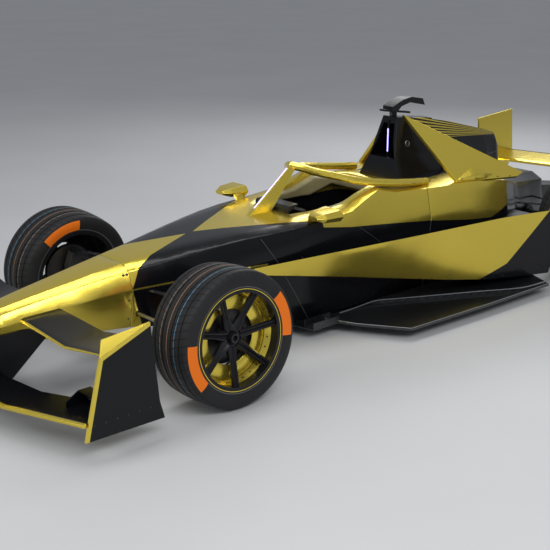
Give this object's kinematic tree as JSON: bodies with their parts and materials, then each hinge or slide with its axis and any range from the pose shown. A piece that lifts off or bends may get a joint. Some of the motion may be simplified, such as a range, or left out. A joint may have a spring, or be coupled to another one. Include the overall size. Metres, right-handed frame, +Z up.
{
  "type": "open wheel racing car",
  "caption": "Open-wheel electric single-seater with a halo, pointed nose wing, tall side fins and low rear wing, in gold and black.",
  "frame": {"origin": "on the ground, under the middle of the car's length and width", "axes": "+X forward, +Y the car's left, +Z up"},
  "size_m": [5.016, 1.7002, 1.169],
  "materials": {
    "gold_paint": "metallic gloss paint",
    "black_paint": "gloss black paint",
    "carbon": "lacquered carbon fibre",
    "seat_pad": "black padded cloth",
    "plank_board": "dark laminate",
    "battery_case": "satin",
    "lamp_red": "red lens",
    "grip": "matte moulded grip",
    "bright_metal": "machined satin",
    "disc_metal": "ground face",
    "rim_paint": "satin black spokes in a gold barrel",
    "tyre_rubber": "black rubber"
  },
  "bodies": {
    "chassis": {"nose_cone": "gold_paint", "monocoque": "black_paint", "seat": "carbon", "headrest": "seat_pad", "steering_column": "carbon", "halo": "gold_paint", "airbox": "black_paint", "camera_pod": "black_paint", "engine_cover": "black_paint", "power_unit": "battery_case", "floor": "carbon", "plank": "plank_board", "front_wing_lower": "gold_paint", "crash_structure": "carbon", "rain_light": "lamp_red", "rear_wing": "gold_paint", "fins": "gold_paint", "mirrors": "gold_paint", "front_suspension": "carbon", "rear_suspension": "carbon", "rear_uprights": "bright_metal", "sidepod_left": "gold_paint", "sidepod_right": "gold_paint", "front_wing_upper_left": "gold_paint", "front_wing_upper_right": "gold_paint", "front_endplate_left": "gold_paint", "front_endplate_right": "gold_paint", "rear_endplate_left": "gold_paint", "rear_endplate_right": "gold_paint"},
    "steering_wheel": {"steering_wheel": "grip"},
    "rack": {"steering_rack": "bright_metal"},
    "upright_front_left": {"front_upright_left": "bright_metal"},
    "upright_front_right": {"front_upright_right": "bright_metal"},
    "wheel_body_front_left": {"wheel_front_left": "rim_paint", "tyre_front_left": "tyre_rubber", "brake_disc_left": "disc_metal"},
    "wheel_body_front_right": {"wheel_front_right": "rim_paint", "tyre_front_right": "tyre_rubber", "brake_disc_right": "disc_metal"},
    "wheel_body_rear_left": {"wheel_rear_left": "rim_paint", "tyre_rear_left": "tyre_rubber", "driveshaft_left": "bright_metal"},
    "wheel_body_rear_right": {"wheel_rear_right": "rim_paint", "tyre_rear_right": "tyre_rubber", "driveshaft_right": "bright_metal"}
  },
  "joints": [
    {"name": "steer_left", "type": "hinge", "parent": "chassis", "child": "upright_front_left", "pos_m": [1.348, 0.61668, 0.33144], "axis": [0, 0, 1], "range_deg": [-18, 18]},
    {"name": "steer_right", "type": "hinge", "parent": "chassis", "child": "upright_front_right", "pos_m": [1.348, -0.61668, 0.33144], "axis": [0, 0, 1], "range_deg": [-18, 18]},
    {"name": "rack_slide", "type": "slide", "parent": "chassis", "child": "rack", "axis": [0, 1, 0], "range_m": [-0.0353, 0.0353]},
    {"name": "steering_wheel_turn", "type": "hinge", "parent": "chassis", "child": "steering_wheel", "pos_m": [0.26304, 0, 0.555], "axis": [-0.9703, 0, 0.2419], "range_deg": [-181, 181]},
    {"name": "wheel_spin_front_left", "type": "hinge", "parent": "upright_front_left", "child": "wheel_body_front_left", "pos_m": [1.348, 0.70068, 0.33144], "axis": [0, 0.9981, 0.061], "continuous": true},
    {"name": "wheel_spin_front_right", "type": "hinge", "parent": "upright_front_right", "child": "wheel_body_front_right", "pos_m": [1.348, -0.70068, 0.33144], "axis": [0, 0.9981, -0.061], "continuous": true},
    {"name": "wheel_spin_rear_left", "type": "hinge", "parent": "chassis", "child": "wheel_body_rear_left", "pos_m": [-1.622, 0.69251, 0.34512], "axis": [0, 0.9998, 0.0175], "continuous": true},
    {"name": "wheel_spin_rear_right", "type": "hinge", "parent": "chassis", "child": "wheel_body_rear_right", "pos_m": [-1.622, -0.69251, 0.34512], "axis": [0, 0.9998, -0.0175], "continuous": true}
  ],
  "couplings": [
    {"joint": "steer_right", "follows": "steer_left", "ratio": 1},
    {"joint": "rack_slide", "follows": "steer_left", "m_per_rad": 0.112},
    {"joint": "steering_wheel_turn", "follows": "steer_left", "ratio": 10}
  ]
}
